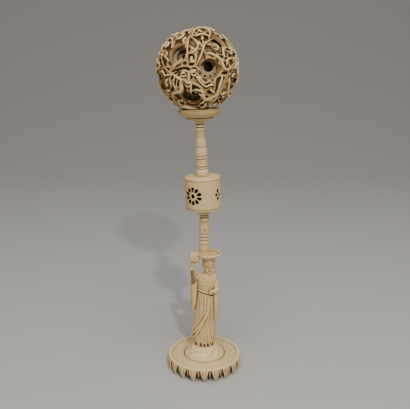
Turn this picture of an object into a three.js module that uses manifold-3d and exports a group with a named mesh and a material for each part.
// A carved ivory puzzle ball on a turned stand that a robed figure carries on its hat.
// Millimetres, +Z up. The origin is on the floor, at the middle of the whole object's length and
// width. The front of the figure looks towards -Y.

import * as THREE from 'three';
import { ConvexGeometry } from 'three/addons/geometries/ConvexGeometry.js';
import { mergeVertices } from 'three/addons/utils/BufferGeometryUtils.js';
import Module from 'manifold-3d';

const wasm = await Module();
wasm.setup();

// Ball
const BALL_DIAMETER = 76;
const RELIEF_DEPTH = 5.1;
const OUTER_WALL = 3;
const SECOND_WALL = 2.2;
const THIRD_WALL = 2.2;
const SHELL_GAP = 1.8;
const LOOSE_DROP = 0.4;
const OUTER_HOLE_DIAMETER = 19.4;
const SECOND_HOLE_DIAMETER = 12.4;
const THIRD_HOLE_DIAMETER = 10;
const BAND_WIDTH = 1.6;
const POCKET_WIDTH = 4.7;
const POCKET_STRETCH = 1.25;
const POCKET_SLANT = 0.45;
const POCKET_SPACING = 6.935;
const DRAGON_WIDTH = 3.6;
const DRAGON_RISE = 1.4;
const DRAGON_STEPS = 12;

// Turned pieces, from the top down
const JOINT_GAP = 0.3;
const SEAT_CLEARANCE = 0.3;
const CUP_DIAMETER = 39;
const CUP_HEIGHT = 10.6;
const CUP_FLOOR = 6.6;
const UPPER_STEM_HEIGHT = 50.6;
const UPPER_STEM_DIAMETER = 11.6;
const LID_THICKNESS = 2.6;
const DRUM_DIAMETER = 34;
const DRUM_HEIGHT = 27;
const DRUM_WALL = 2.6;
const SPIGOT_HEIGHT = 1.2;
const FLOOR_THICKNESS = 1.4;
const COLLAR_DIAMETER = 12.4;
const COLLAR_HEIGHT = 5;
const LOWER_STEM_HEIGHT = 40.2;
const LOWER_STEM_DIAMETER = 10.4;
const STEM_NECK_DIAMETER = 7;
const LEAN_DEGREES = 2.6;

// Rosettes and small crosses pierced through the drum
const ROSETTE_DIAMETER = 17;
const ROSETTE_PETALS = 10;
const PETAL_LENGTH = 4.6;
const PETAL_WIDTH = 2.8;
const CROSS_HEIGHT = 10.6;
const CROSS_WIDTH = 6.4;
const CROSS_DOT_DIAMETER = 2.8;
const ROSETTE_TURN_DEGREES = -34;
const CROSS_TURN_DEGREES = 52;

// Figure and its hat
const FIGURE_HEIGHT = 95.5;
const HAT_THICKNESS = 2.6;
const HAT_LIP = 1.1;
const HAT_BRIM = 6.8;

// Base
const BASE_DIAMETER = 72;
const BASE_HEIGHT = 13.5;
const RECESS_DEPTH = 7.5;
const SKIRT_THICKNESS = 3.4;
const LIP_WIDTH = 3.4;
const LIP_HEIGHT = 0.6;
const MOUND_RISE = 9.1;
const MOUND_FOOT_DIAMETER = 40.6;
const MOUND_MARGIN = 0.6;
const LEAF_COUNT = 20;
const LEAF_BULGE = 1.6;
const LEAF_TIP = 1.6;
const LESSER_LEAF_RISE = 1.8;

// How finely round things are faceted
const OUTER_HOLE_SIDES = 8;
const INNER_HOLE_SIDES = 7;
const CUP_SIDES = 20;
const DRUM_SIDES = 20;
const STEM_SIDES = 10;
const SLIVER = 0.05;
const PIN_SIDES = 4;

const ivory = (name, color, roughness = 0.42) =>
  new THREE.MeshStandardMaterial({ name, color, roughness, metalness: 0 });

const radians = THREE.MathUtils.degToRad;
const vector = (x, y, z) => new THREE.Vector3(x, y, z);

// Tools: solids, meshes and ways to bend a plain geometry

// A closed mesh with shared corners, without the flat slivers that poles leave behind.
function welded(geometry) {
  const bare = geometry.clone();
  bare.deleteAttribute('normal');
  bare.deleteAttribute('uv');
  const merged = mergeVertices(bare, 1e-4);
  const corners = merged.index.array;
  const kept = [];
  for (let i = 0; i < corners.length; i += 3) {
    const [a, b, c] = [corners[i], corners[i + 1], corners[i + 2]];
    if (a !== b && b !== c && c !== a) {
      kept.push(a, b, c);
    }
  }
  merged.setIndex(kept);
  return merged;
}

const joined = (pieces) => pieces.reduce((whole, piece) => whole.add(piece));
const cutBy = (body, tools) => tools.reduce((left, tool) => left.subtract(tool), body);

function solid(geometry) {
  const merged = welded(geometry);
  return new wasm.Manifold(new wasm.Mesh({
    numProp: 3,
    vertProperties: new Float32Array(merged.attributes.position.array),
    triVerts: new Uint32Array(merged.index.array),
  }));
}

// The finished skin of a solid, without the slivers and closed pockets that joins leave.
function surface(manifold) {
  const bodies = manifold.simplify(SLIVER).decompose();
  const mesh = joined(bodies.filter((body) => body.volume() > 0)).getMesh();
  const geometry = new THREE.BufferGeometry();
  geometry.setAttribute('position', new THREE.BufferAttribute(mesh.vertProperties, 3));
  geometry.setIndex(new THREE.BufferAttribute(mesh.triVerts, 1));
  geometry.computeVertexNormals();
  return geometry;
}

// Moves every corner of a geometry by a function of its place.
function reshaped(geometry, place) {
  const position = geometry.attributes.position;
  const point = vector(0, 0, 0);
  for (let i = 0; i < position.count; i += 1) {
    point.fromBufferAttribute(position, i);
    place(point);
    position.setXYZ(i, point.x, point.y, point.z);
  }
  return geometry;
}

// A turned solid from radius and height pairs, listed from the bottom up.
function turned(profile, sides) {
  const points = profile.map(([radius, height]) => new THREE.Vector2(radius, height));
  return new THREE.LatheGeometry(points, sides).rotateX(Math.PI / 2);
}

// The profile of a stem: mouldings stacked from the bottom up, each given by its share of the
// height and then the radii that it runs through, as shares of the stem's own.
function mouldings(list, height, radius) {
  const total = list.reduce((sum, [rise]) => sum + rise, 0);
  const profile = [[0, 0]];
  let level = 0;
  list.forEach(([rise, ...radii]) => {
    const step = (rise / total) * height;
    radii.forEach((share, i) => {
      profile.push([share * radius, level + (step * i) / (radii.length - 1)]);
    });
    level += step;
  });
  profile.push([0, height]);
  return profile.filter(([r, z], i) =>
    i === 0 || r !== profile[i - 1][0] || z !== profile[i - 1][1]);
}

// A stack of ovals: each level is height, centre x, centre y, half width and half depth.
function lofted(levels, sides, fold = () => 1) {
  const rows = levels.length - 1;
  const tube = new THREE.CylinderGeometry(1, 1, 1, sides, rows).rotateX(Math.PI / 2);
  return reshaped(tube, (point) => {
    const row = Math.round((point.z + 0.5) * rows);
    const [height, centreX, centreY, halfWidth, halfDepth] = levels[row];
    const swell = fold(Math.atan2(point.y, point.x), row);
    point.set(
      centreX + point.x * halfWidth * swell,
      centreY + point.y * halfDepth * swell,
      height,
    );
  });
}

// Carries a bar or rod, one unit long around z = 0, along a curve. Its y side keeps to "up".
function carried(geometry, curve, upAt, halfWidthAt, halfHeightAt) {
  return reshaped(geometry, (point) => {
    const t = THREE.MathUtils.clamp(point.z + 0.5, 0, 1);
    const centre = curve.getPoint(t);
    const tangent = curve.getTangent(t);
    const side = upAt(centre).cross(tangent).normalize();
    const lift = tangent.clone().cross(side);
    const across = point.x * halfWidthAt(t);
    const above = point.y * halfHeightAt(t);
    point.copy(centre).addScaledVector(side, across).addScaledVector(lift, above);
  });
}

const rod = (steps, sides) =>
  new THREE.CylinderGeometry(1, 1, 1, sides, steps).rotateX(Math.PI / 2);

// Ball

const ballRadius = BALL_DIAMETER / 2;
const outerGround = ballRadius - RELIEF_DEPTH;
const outerInside = outerGround - OUTER_WALL;
const secondOutside = outerInside - SHELL_GAP;
const secondInside = secondOutside - SECOND_WALL;
const thirdOutside = secondInside - SHELL_GAP;
const thirdInside = thirdOutside - THIRD_WALL;

// Each shell has fourteen round openings: six along its axes, eight through its cube corners.
const axisHoles = [
  vector(1, 0, 0), vector(-1, 0, 0),
  vector(0, 1, 0), vector(0, -1, 0),
  vector(0, 0, 1), vector(0, 0, -1),
];
const cornerHoles = [];
[-1, 1].forEach((x) => [-1, 1].forEach((y) => [-1, 1].forEach((z) => {
  cornerHoles.push(vector(x, y, z).normalize());
})));
const holeDirections = [...axisHoles, ...cornerHoles];

// The broad webs lie between two axis holes and two corner holes.
const broadWebs = [];
[-1, 1].forEach((p) => [-1, 1].forEach((q) => {
  broadWebs.push(...[vector(p, q, 0), vector(0, p, q), vector(q, 0, p)].map((web) => web.normalize()));
}));

// Two directions square to a given one, to draw circles and scrolls around it.
function facing(direction) {
  const helper = Math.abs(direction.z) < 0.9 ? vector(0, 0, 1) : vector(1, 0, 0);
  const across = helper.clone().cross(direction).normalize();
  return [across, direction.clone().cross(across)];
}

function aroundDirection(direction, angle, reach) {
  const [across, along] = facing(direction);
  return direction.clone().multiplyScalar(Math.cos(reach))
    .addScaledVector(across, Math.sin(reach) * Math.cos(angle))
    .addScaledVector(along, Math.sin(reach) * Math.sin(angle));
}

// The faces of a skin drawn taut over points of the unit sphere, as triples of their numbers.
function tautFaces(corners) {
  const skin = new ConvexGeometry(corners).attributes.position;
  const nearest = (i) => {
    const point = vector(0, 0, 0).fromBufferAttribute(skin, i);
    return corners.findIndex((corner) => corner.distanceToSquared(point) < 1e-8);
  };
  return Array.from({ length: skin.count / 3 }, (_, face) =>
    [nearest(face * 3), nearest(face * 3 + 1), nearest(face * 3 + 2)]);
}

// The triangles of a skin with openings. Around the centre of each opening the skin drops to the
// opening's own depth. Ridge points stand higher than the rest, at "crest".
function openSkin(openings, radius, plain = [], ridges = [], crest = radius) {
  const low = [...openings.flatMap((opening) => opening.rim), ...plain];
  const corners = [...low, ...ridges, ...openings.map((opening) => opening.centre)];
  const firstCentre = corners.length - openings.length;
  const at = (corner, distance) => corners[corner].clone().multiplyScalar(distance);
  const onTop = (corner) => at(corner, corner < low.length ? radius : crest);
  return tautFaces(corners).flatMap((face) => {
    const spot = face.findIndex((corner) => corner >= firstCentre);
    if (spot < 0) {
      return [face.map(onTop)];
    }
    const [c, a, b] = [0, 1, 2].map((i) => face[(spot + i) % 3]);
    const { depth } = openings[c - firstCentre];
    return depth === radius ? [] : [
      [onTop(a), at(b, depth), at(a, depth)],
      [onTop(a), onTop(b), at(b, depth)],
    ];
  });
}

// The floor of an opening with four corners that doesn't go through.
function openingFloor({ rim, depth }) {
  const [a, b, c, d] = rim.map((corner) => corner.clone().multiplyScalar(depth));
  return [[a, b, c], [a, c, d]];
}

function roundHoles(holeDiameter, atRadius, depth, sides) {
  const reach = Math.asin(holeDiameter / 2 / atRadius);
  return holeDirections.map((centre) => ({
    centre,
    depth,
    rim: Array.from({ length: sides }, (_, i) =>
      aroundDirection(centre, (i * 2 * Math.PI) / sides, reach)),
  }));
}

const asSolid = (triangles) =>
  solid(new THREE.BufferGeometry().setFromPoints(triangles.flat()));
const turnedInwards = (triangles) => triangles.map(([a, b, c]) => [a, c, b]);

// A plain shell: two skins joined by the walls of the openings, which narrow inwards.
function plainShell(outside, inside, holeDiameter) {
  const holes = roundHoles(holeDiameter, outside, inside, INNER_HOLE_SIDES);
  return surface(asSolid([
    ...openSkin(holes, outside, broadWebs),
    ...turnedInwards(openSkin(holes, inside, broadWebs)),
  ]));
}

// The outer shell's carving: winding dragon bodies stand proud of a field of clouds, and deep
// pockets lie between the clouds. A plain band runs round every hole.
const holeReach = Math.asin(OUTER_HOLE_DIAMETER / BALL_DIAMETER);
const pocketReach = POCKET_WIDTH / 2 / ballRadius;
const bandReach = BAND_WIDTH / ballRadius;
const bodyReach = DRAGON_WIDTH / 2 / ballRadius;

// A body's route over the broad webs, past one corner hole after another. The other bodies take
// the same route, turned by the symmetry of the holes.
const dragonRoute = [[1, 1, 0], [0.37, 1, 0.37], [0, 1, 1], [-0.37, 0.37, 1], [-1, 0, 1]];
const cycle = (route) => route.map(([x, y, z]) => [y, z, x]);
const halfTurn = (route) => route.map(([x, y, z]) => [x, -y, -z]);
const dragonRoutes = [dragonRoute, cycle(dragonRoute), cycle(cycle(dragonRoute))]
  .flatMap((route) => [route, halfTurn(route)]);

// Points along one body: its spine and both its edges.
function bodyPoints(route) {
  const curve = new THREE.CatmullRomCurve3(route.map(([x, y, z]) => vector(x, y, z).normalize()));
  return Array.from({ length: DRAGON_STEPS + 1 }, (_, i) => {
    const spine = curve.getPointAt(i / DRAGON_STEPS).normalize();
    const across = curve.getTangentAt(i / DRAGON_STEPS).cross(spine).normalize();
    const edge = (side) => spine.clone().addScaledVector(across, side * bodyReach).normalize();
    return { spine, edges: [edge(-1), edge(1)] };
  });
}

// Points in a list that keep at least "apart" from the ones before them and from "others".
const spaced = (points, apart, others = []) => points.reduce((kept, point) =>
  ([...kept, ...others].some((other) => other.angleTo(point) < apart) ? kept : [...kept, point]), []);

// A pocket with four corners, longer along the way round the nearest hole and turned a little.
function pocket(centre) {
  const hub = holeDirections.reduce((best, hole) =>
    (hole.angleTo(centre) < best.angleTo(centre) ? hole : best));
  const round = hub.clone().cross(centre).normalize();
  const away = centre.clone().cross(round);
  const rim = [0, 1, 2, 3].map((i) => {
    const angle = POCKET_SLANT + (i * Math.PI) / 2;
    const reach = i % 2 === 0 ? pocketReach * POCKET_STRETCH : pocketReach;
    return centre.clone().multiplyScalar(Math.cos(reach))
      .addScaledVector(round, Math.sin(reach) * Math.cos(angle))
      .addScaledVector(away, Math.sin(reach) * Math.sin(angle));
  });
  return { centre, rim, depth: outerGround };
}

// Even places on a spiral over the sphere, except where a hole's band or a body needs the room.
function pocketsBetween(spines) {
  const turn = Math.PI * (3 - Math.sqrt(5));
  const length = Math.round((4 * Math.PI * (ballRadius - DRAGON_RISE) ** 2) / POCKET_SPACING ** 2);
  const places = Array.from({ length }, (_, i) => {
    const height = 1 - (2 * i + 1) / length;
    const reach = Math.sqrt(1 - height ** 2);
    return vector(reach * Math.cos(i * turn), reach * Math.sin(i * turn), height);
  });
  const clearOf = (others, distance) => (place) =>
    others.every((other) => other.angleTo(place) > distance);
  return places
    .filter(clearOf(holeDirections, holeReach + bandReach + pocketReach))
    .filter(clearOf(spines, bodyReach + pocketReach * 1.1))
    .map(pocket);
}

function outerShell() {
  const field = ballRadius - DRAGON_RISE;
  const holes = roundHoles(OUTER_HOLE_DIAMETER, ballRadius, outerInside, OUTER_HOLE_SIDES);
  const bodies = dragonRoutes.flatMap(bodyPoints);
  const spines = spaced(bodies.map((point) => point.spine), bodyReach);
  const edges = spaced(bodies.flatMap((point) => point.edges), bodyReach, spines);
  const pockets = pocketsBetween(spines);
  return surface(asSolid([
    ...openSkin([...holes, ...pockets], field, edges, spines, ballRadius),
    ...pockets.flatMap(openingFloor),
    ...turnedInwards(openSkin(holes, outerInside, broadWebs)),
  ]));
}

// Turned pieces of the stand

// A shallow cup with a round seat for the ball.
function cup() {
  const radius = CUP_DIAMETER / 2;
  const foot = UPPER_STEM_DIAMETER * 0.63;
  const seat = ballRadius + SEAT_CLEARANCE;
  const seatCentre = CUP_FLOOR + seat;
  const rim = Math.sqrt(seat ** 2 - (seatCentre - CUP_HEIGHT) ** 2);
  const inside = [0, 0.35, 0.7, 1].map((share) => {
    const reach = rim * (1 - share);
    return [reach, seatCentre - Math.sqrt(seat ** 2 - reach ** 2)];
  });
  return surface(solid(turned([
    [0, 0],
    [foot, 0],
    [radius * 0.61, CUP_HEIGHT * 0.17],
    [radius * 0.8, CUP_HEIGHT * 0.34],
    [radius * 0.93, CUP_HEIGHT * 0.55],
    [radius, CUP_HEIGHT * 0.83],
    [radius * 0.97, CUP_HEIGHT],
    ...inside,
  ], CUP_SIDES)));
}

function upperStem() {
  return surface(solid(turned(mouldings([
    [5.8, 0.98, 1.04, 0.86],
    [2.6, 0.86, 0.95, 0.86],
    [7, 0.86, 0.97, 0.86],
    [2, 0.86, 1, 0.86],
    [8.2, 0.86, 0.98, 0.82],
    [14.4, 0.82, 0.88, 0.66, 0.6],
    [3, 0.6, 0.8, 0.64],
    [3.2, 0.64, 0.76, 0.64],
    [4.4, 0.64, 0.9],
  ], UPPER_STEM_HEIGHT, UPPER_STEM_DIAMETER / 2), STEM_SIDES)));
}

function lowerStem() {
  return surface(solid(turned(mouldings([
    [9.5, 1, 0.98],
    [3, 0.9, 0.98, 0.88],
    [6.4, 0.88, 0.96, 0.86],
    [11.6, 0.86, 1, 0.86],
    [4, 0.86, 0.92, 0.84],
    [3.1, 0.84, 0.9, 0.84],
    [2.6, STEM_NECK_DIAMETER / LOWER_STEM_DIAMETER, STEM_NECK_DIAMETER / LOWER_STEM_DIAMETER],
  ], LOWER_STEM_HEIGHT, LOWER_STEM_DIAMETER / 2), STEM_SIDES)));
}

const drumRadius = DRUM_DIAMETER / 2;
const drumBore = drumRadius - DRUM_WALL;
const spigotRadius = drumBore - JOINT_GAP;

function drumLid() {
  return surface(solid(turned([
    [0, -SPIGOT_HEIGHT],
    [spigotRadius, -SPIGOT_HEIGHT],
    [spigotRadius, 0],
    [drumRadius, 0],
    [drumRadius, LID_THICKNESS * 0.6],
    [drumRadius - LID_THICKNESS * 0.5, LID_THICKNESS],
    [0, LID_THICKNESS],
  ], DRUM_SIDES)));
}

function drumFloor() {
  const collar = COLLAR_DIAMETER / 2;
  const top = COLLAR_HEIGHT + FLOOR_THICKNESS;
  return surface(solid(turned([
    [0, 0],
    [collar * 0.86, 0],
    [collar, COLLAR_HEIGHT * 0.35],
    [collar, COLLAR_HEIGHT * 0.8],
    [drumRadius * 0.92, COLLAR_HEIGHT],
    [drumRadius, top],
    [spigotRadius, top],
    [spigotRadius, top + SPIGOT_HEIGHT],
    [0, top + SPIGOT_HEIGHT],
  ], DRUM_SIDES)));
}

// A pin that pierces the drum's wall: an oval prism set out from the axis.
function piercing(width, height, turn, turnDegrees, along, up) {
  const pin = new THREE.CylinderGeometry(0.5, 0.5, DRUM_WALL * 2, PIN_SIDES).rotateX(Math.PI / 2);
  pin.scale(width, height, 1);
  pin.rotateZ(turn);
  pin.translate(along, up, 0);
  pin.rotateX(Math.PI / 2);
  pin.translate(0, -(drumRadius - DRUM_WALL / 2), 0);
  pin.rotateZ(radians(turnDegrees));
  return solid(pin.translate(0, 0, DRUM_HEIGHT / 2));
}

function rosette(turnDegrees) {
  const ring = (ROSETTE_DIAMETER - PETAL_LENGTH) / 2;
  const petals = Array.from({ length: ROSETTE_PETALS }, (_, i) => {
    const angle = (i * 2 * Math.PI) / ROSETTE_PETALS;
    const along = ring * Math.sin(angle);
    const up = ring * Math.cos(angle);
    return piercing(PETAL_WIDTH, PETAL_LENGTH, -angle, turnDegrees, along, up);
  });
  return [piercing(PETAL_WIDTH * 1.2, PETAL_WIDTH * 1.2, 0, turnDegrees, 0, 0), ...petals];
}

function smallCross(turnDegrees) {
  const dot = CROSS_DOT_DIAMETER;
  const up = (CROSS_HEIGHT - dot) / 2;
  const along = (CROSS_WIDTH - dot) / 2;
  return [
    piercing(dot * 0.9, dot, 0, turnDegrees, 0, up),
    piercing(dot * 0.9, dot, 0, turnDegrees, 0, -up),
    piercing(dot * 0.9, dot * 0.9, 0, turnDegrees, -along, 0),
    piercing(dot * 0.9, dot * 0.9, 0, turnDegrees, along, 0),
  ];
}

function drumWall() {
  const wall = solid(turned([
    [drumBore, 0],
    [drumRadius, 0],
    [drumRadius, DRUM_HEIGHT],
    [drumBore, DRUM_HEIGHT],
    [drumBore, 0],
  ], DRUM_SIDES));
  return surface(cutBy(wall, [
    ...rosette(ROSETTE_TURN_DEGREES),
    ...rosette(ROSETTE_TURN_DEGREES + 180),
    ...smallCross(CROSS_TURN_DEGREES),
    ...smallCross(CROSS_TURN_DEGREES + 180),
  ]));
}

// Figure: proportions are shares of its height

const tall = FIGURE_HEIGHT;
const scaled = (levels) => levels.map((level) => level.map((share) => share * tall));
const place = (x, y, z) => vector(x * tall, y * tall, z * tall);
const towardsViewer = () => vector(0, -1, 0);
const hatCentreX = 0.048 * tall;
const hatFloorRadius = LOWER_STEM_DIAMETER / 2;
const hatRadius = hatFloorRadius + HAT_BRIM;

// A rod through some places, with its half widths at both ends as shares of the height.
function limb(places, startRadius, endRadius, sides = 6, steps = 2) {
  const curve = new THREE.CatmullRomCurve3(places.map(([x, y, z]) => place(x, y, z)));
  const radius = (t) => THREE.MathUtils.lerp(startRadius, endRadius, t) * tall;
  return solid(carried(rod(steps, sides), curve, towardsViewer, radius, radius));
}

function egg(x, y, z, halfWidth, halfDepth, halfHeight, sides = 8) {
  const ball = new THREE.SphereGeometry(1, sides, Math.round(sides * 0.7)).rotateX(Math.PI / 2);
  ball.scale(halfWidth * tall, halfDepth * tall, halfHeight * tall);
  return solid(ball.translate(x * tall, y * tall, z * tall));
}

// The robe below the belt: pleats that grow deeper towards the hem, and a short upper skirt.
function robe() {
  const pleats = (angle, row) => 1 + 0.012 * (7 - row) * Math.cos(10 * angle);
  return solid(lofted(scaled([
    [0, 0, 0, 0.106, 0.094],
    [0.05, 0, 0, 0.11, 0.096],
    [0.15, -0.006, 0, 0.126, 0.1],
    [0.29, 0.004, 0, 0.113, 0.09],
    [0.3, 0.014, 0, 0.119, 0.096],
    [0.45, 0.022, 0, 0.11, 0.088],
    [0.6, 0.024, 0, 0.102, 0.08],
  ]), 20, pleats));
}

function torso() {
  return solid(lofted(scaled([
    [0.59, 0.024, 0, 0.096, 0.074],
    [0.625, 0.026, 0, 0.102, 0.08],
    [0.7, 0.03, 0, 0.108, 0.082],
    [0.76, 0.034, 0, 0.1, 0.07],
    [0.8, 0.042, 0.004, 0.05, 0.048],
    [0.84, 0.046, 0.004, 0.034, 0.036],
  ]), 12));
}

// The long sleeve that hangs from the raised arm.
function hangingSleeve() {
  return solid(lofted(scaled([
    [0.394, -0.116, 0, 0.016, 0.03],
    [0.45, -0.108, 0, 0.028, 0.05],
    [0.58, -0.1, 0, 0.034, 0.056],
    [0.7, -0.096, 0, 0.04, 0.05],
    [0.78, -0.104, 0, 0.032, 0.036],
    [0.84, -0.124, 0, 0.022, 0.026],
  ]), 8));
}

function restingSleeve() {
  return solid(lofted(scaled([
    [0.296, 0.114, -0.02, 0.014, 0.03],
    [0.36, 0.118, -0.02, 0.028, 0.048],
    [0.52, 0.118, -0.02, 0.032, 0.056],
    [0.66, 0.12, -0.016, 0.036, 0.052],
    [0.745, 0.108, 0, 0.034, 0.044],
    [0.785, 0.08, 0, 0.02, 0.026],
  ]), 8));
}

// A dished hat: a flat floor that the stem stands on, and a brim with a low lip.
function hat() {
  const head = 0.058 * tall;
  return solid(turned([
    [0, -0.07 * tall],
    [head, -0.05 * tall],
    [hatFloorRadius + HAT_BRIM * 0.5, -HAT_THICKNESS],
    [hatRadius, HAT_LIP - HAT_THICKNESS * 0.5],
    [hatRadius - 0.4, HAT_LIP],
    [hatRadius - 1.6, 0],
    [0, 0],
  ], 16).translate(hatCentreX, 0, tall));
}

function figure() {
  const body = joined([robe(), torso(), hangingSleeve(), restingSleeve()]);
  const raisedForearm = limb([[-0.124, 0, 0.81], [-0.126, 0, 0.86], [-0.122, 0, 0.92]], 0.022, 0.02);
  const raisedHand = egg(-0.1, -0.01, 0.965, 0.046, 0.05, 0.064, 6);
  const shoulder = limb([[-0.03, 0, 0.76], [-0.07, 0, 0.755], [-0.1, 0, 0.76]], 0.04, 0.036);
  const forearm = limb([[0.13, -0.04, 0.66], [0.1, -0.085, 0.64], [0.045, -0.094, 0.63]], 0.026, 0.02);
  const head = egg(0.048, -0.008, 0.868, 0.063, 0.068, 0.097);
  const nose = limb([[0.058, -0.068, 0.885], [0.06, -0.078, 0.862], [0.06, -0.082, 0.852]],
    0.006, 0.012, 4, 2);
  const hair = egg(0.044, 0.03, 0.888, 0.06, 0.054, 0.078, 6);
  const folds = [0, 1, 2].map((i) => limb([
    [0.03 - 0.016 * i, -0.09, 0.43 - 0.06 * i],
    [-0.05 - 0.01 * i, -0.09, 0.28 - 0.06 * i],
    [-0.125 + 0.006 * i, -0.05, 0.16 - 0.05 * i],
  ], 0.012, 0.016, 4, 3));
  const belt = solid(lofted(scaled([
    [0.596, 0.024, 0, 0.108, 0.086],
    [0.62, 0.025, 0, 0.108, 0.086],
  ]), 12));
  return surface(joined([
    body, raisedForearm, raisedHand, shoulder, forearm, head, nose, hair, belt, ...folds, hat(),
  ]));
}

// Base

const baseRadius = BASE_DIAMETER / 2;
const skirtInner = baseRadius - SKIRT_THICKNESS;
const skirtOuter = baseRadius - SKIRT_THICKNESS * 0.45;
const footReach = 0.114 * tall;

// A main leaf of the border: a ridged blade, broad at the top, that ends in a small flat tip.
function leaf(index) {
  const pitch = (2 * Math.PI * baseRadius) / LEAF_COUNT;
  const levels = [
    [0, LEAF_TIP / 2, 0],
    [BASE_HEIGHT * 0.52, pitch * 0.27, LEAF_BULGE],
    [BASE_HEIGHT - LIP_HEIGHT, pitch * 0.42, 0],
  ];
  const blade = new THREE.CylinderGeometry(1, 1, 1, 4, levels.length - 1).rotateX(Math.PI / 2);
  const [inner, outer] = [skirtInner + 0.5, baseRadius];
  reshaped(blade, (point) => {
    const [height, halfWidth, swell] = levels[Math.round((point.z + 0.5) * (levels.length - 1))];
    const reach = point.y > 0.5 ? outer + swell : (inner + outer) / 2 + point.y * (outer - inner) / 2;
    point.set(-point.x * halfWidth, -reach, height);
  });
  return solid(blade.rotateZ((2 * Math.PI * index) / LEAF_COUNT));
}

// The disc, hollow below, with a domed middle. Its lower edge is cut into the small points that
// show between the main leaves.
function disc() {
  const lipInner = baseRadius - LIP_WIDTH;
  const moundFoot = MOUND_FOOT_DIAMETER / 2;
  const moundTop = footReach + MOUND_MARGIN;
  const floor = BASE_HEIGHT - LIP_HEIGHT;
  const edge = -1;
  const profile = [
    [0, RECESS_DEPTH],
    [skirtInner - 0.2, RECESS_DEPTH],
    [skirtInner, edge],
    [skirtOuter, edge],
    [skirtOuter, BASE_HEIGHT - LIP_HEIGHT * 2.4],
    [baseRadius, BASE_HEIGHT - LIP_HEIGHT * 1.6],
    [baseRadius - 0.7, BASE_HEIGHT],
    [lipInner, BASE_HEIGHT],
    [lipInner, floor],
    [moundFoot, floor],
    [(moundFoot + moundTop) / 2, floor + MOUND_RISE * 0.64],
    [moundTop, BASE_HEIGHT + MOUND_RISE],
    [0, BASE_HEIGHT + MOUND_RISE],
  ];
  return solid(reshaped(turned(profile, LEAF_COUNT * 2), (point) => {
    if (point.z === edge) {
      const leafTurns = (Math.atan2(point.x, -point.y) / (2 * Math.PI)) * LEAF_COUNT;
      const between = Math.abs(leafTurns - Math.round(leafTurns)) > 0.25;
      point.z = between ? LESSER_LEAF_RISE : RECESS_DEPTH - 0.5;
    }
  }));
}

function base() {
  const leaves = Array.from({ length: LEAF_COUNT }, (_, index) => leaf(index));
  return surface(joined([disc(), ...leaves]));
}

// Assembly

const carvedIvory = ivory('carved_ivory', 0xd9c39b);
const turnedIvory = ivory('turned_ivory', 0xdcc9a4, 0.36);
const innerIvory = ivory('inner_ivory', 0xcfc0a6, 0.5);

function piece(name, geometry, material, height = 0) {
  const mesh = new THREE.Mesh(geometry, material);
  mesh.name = name;
  mesh.position.z = height;
  return mesh;
}

const figureFoot = BASE_HEIGHT + MOUND_RISE;
const lowerStemFoot = figureFoot + FIGURE_HEIGHT;
const lowerStemTop = lowerStemFoot + LOWER_STEM_HEIGHT;

// Everything above the lower stem leans a little; the first gap keeps its low side clear.
const leanGap = (STEM_NECK_DIAMETER / 2) * Math.tan(radians(LEAN_DEGREES)) + 0.05;
const drumFloorFoot = leanGap;
const drumWallFoot = drumFloorFoot + COLLAR_HEIGHT + FLOOR_THICKNESS + JOINT_GAP;
const lidFoot = drumWallFoot + DRUM_HEIGHT + JOINT_GAP;
const upperStemFoot = lidFoot + LID_THICKNESS + JOINT_GAP;
const cupFoot = upperStemFoot + UPPER_STEM_HEIGHT + JOINT_GAP;
const ballCentre = cupFoot + CUP_FLOOR + ballRadius + SEAT_CLEARANCE;

// How the ball lies in its cup, and how its loose shells lie inside: each has sunk a little, and
// one of its openings looks out through the ball's front opening.
const ballTurn = new THREE.Euler(radians(-50.6), radians(65.8), radians(53.1));
const openTowards = (x, y, z, twistDegrees) => new THREE.Quaternion()
  .setFromUnitVectors(vector(0, -1, 0), vector(x, y, z).normalize())
  .multiply(new THREE.Quaternion().setFromAxisAngle(vector(0, 1, 0), radians(twistDegrees)));
const secondTurn = openTowards(0.349, -0.925, 0.155, 73.5);
const thirdTurn = openTowards(0.428, -0.897, 0.119, 73.5);

const leaning = new THREE.Group();
leaning.position.z = lowerStemTop;
leaning.rotation.y = -radians(LEAN_DEGREES);

const outer = piece('ball_outer_shell', outerShell(), carvedIvory, ballCentre);
outer.rotation.copy(ballTurn);
const second = piece(
  'ball_second_shell',
  plainShell(secondOutside, secondInside, SECOND_HOLE_DIAMETER),
  innerIvory,
  ballCentre - LOOSE_DROP,
);
second.quaternion.copy(secondTurn);
const third = piece(
  'ball_third_shell',
  plainShell(thirdOutside, thirdInside, THIRD_HOLE_DIAMETER),
  innerIvory,
  ballCentre - LOOSE_DROP * 2,
);
third.quaternion.copy(thirdTurn);

leaning.add(
  outer,
  second,
  third,
  piece('cup', cup(), turnedIvory, cupFoot),
  piece('upper_stem', upperStem(), turnedIvory, upperStemFoot),
  piece('drum_lid', drumLid(), turnedIvory, lidFoot),
  piece('drum_wall', drumWall(), turnedIvory, drumWallFoot),
  piece('drum_floor', drumFloor(), turnedIvory, drumFloorFoot),
);

const stand = new THREE.Group();
stand.add(
  leaning,
  piece('lower_stem', lowerStem(), turnedIvory, lowerStemFoot),
  piece('figure', figure(), carvedIvory, figureFoot),
  piece('base', base(), carvedIvory),
);
const whole = new THREE.Box3().setFromObject(stand, true);
stand.position.x = -(whole.min.x + whole.max.x) / 2;
stand.position.y = -(whole.min.y + whole.max.y) / 2;

export default stand;
